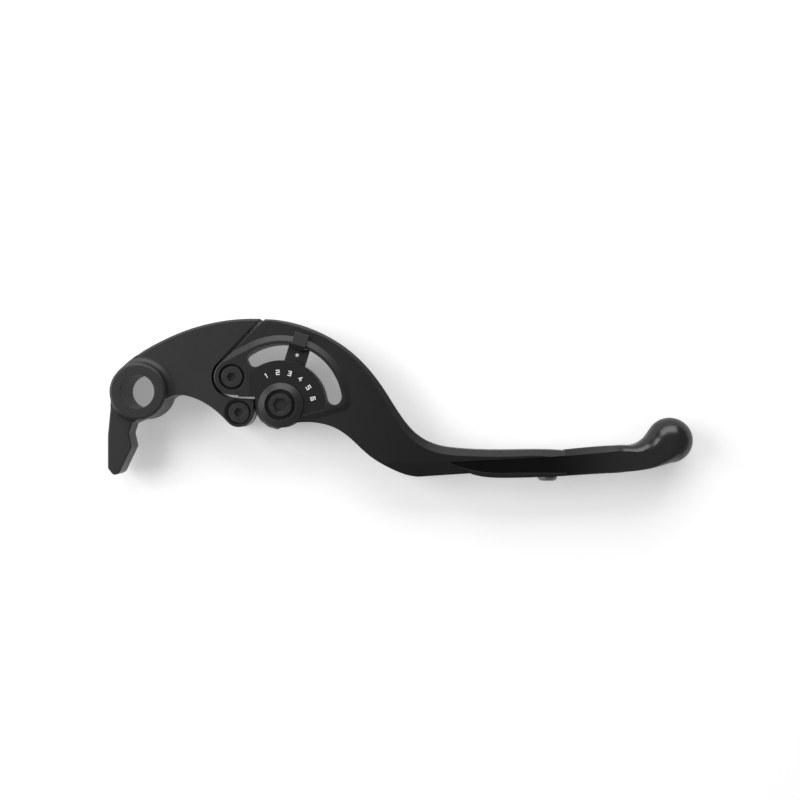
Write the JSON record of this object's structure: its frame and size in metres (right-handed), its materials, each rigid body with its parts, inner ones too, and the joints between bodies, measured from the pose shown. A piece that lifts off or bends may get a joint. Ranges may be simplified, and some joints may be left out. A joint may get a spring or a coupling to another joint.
{
  "type": "motorcycle control lever",
  "caption": "Adjustable motorcycle clutch or brake lever: a hinged blade with gloss ball tip on a pivot adapter with pushing finger, and a reach dial with cam, arc window and thumb tab.",
  "frame": {"origin": "centre of the pivot bore, half way along it", "axes": "+Z along the pivot axis towards the numbered side, +X along the lever towards the ball end, +Y away from the handlebar"},
  "size_m": [0.1745, 0.0483, 0.015],
  "materials": {
    "adapter_black": "matt black anodised, bead blasted",
    "blade_black": "matt black anodised, bead blasted",
    "plate_black": "matt black anodised",
    "arm_black": "satin black anodised",
    "ring_grey": "satin dark grey anodised, turned",
    "cam_steel": "dark hardened steel",
    "black_steel": "black oxide",
    "screw_steel": "stainless",
    "bright_steel": "ground",
    "spring_steel": "drawn wire",
    "bronze": "sintered bronze",
    "brass_insert": "knurled brass",
    "polymer": "acetal",
    "tip_gloss": "gloss black",
    "white_mark": "white enamel"
  },
  "bodies": {
    "adapter": {"adapter": "adapter_black", "hinge_bush": "bronze", "contact_sleeve": "bright_steel", "contact_screw": "black_steel"},
    "blade": {"blade": "blade_black", "scale_plate": "plate_black", "hinge_screw": "black_steel", "hinge_nut": "black_steel", "hinge_washers": "polymer", "return_spring": "spring_steel", "detent_ball": "bright_steel", "detent_spring": "spring_steel", "grip_tip": "tip_gloss", "tip_nut": "brass_insert", "tip_screw": "screw_steel"},
    "cam": {"cam": "cam_steel", "indicator_arm": "arm_black", "index_dot": "white_mark", "cam_ring": "ring_grey", "cam_bolt": "black_steel", "cam_washer": "bright_steel", "cam_nut": "black_steel"}
  },
  "joints": [
    {"name": "blade_reach", "type": "hinge", "parent": "adapter", "child": "blade", "pos_m": [0.0275, 0.0043, 0], "axis": [0, 0, 1], "range_deg": [-4.5, 3], "deforming": ["return_spring"]},
    {"name": "cam_turn", "type": "hinge", "parent": "blade", "child": "cam", "pos_m": [0.042, -0.004, 0], "axis": [0, 0, 1], "range_deg": [-63, 42]}
  ],
  "couplings": [
    {"joint": "cam_turn", "follows": "blade_reach", "ratio": 14}
  ]
}
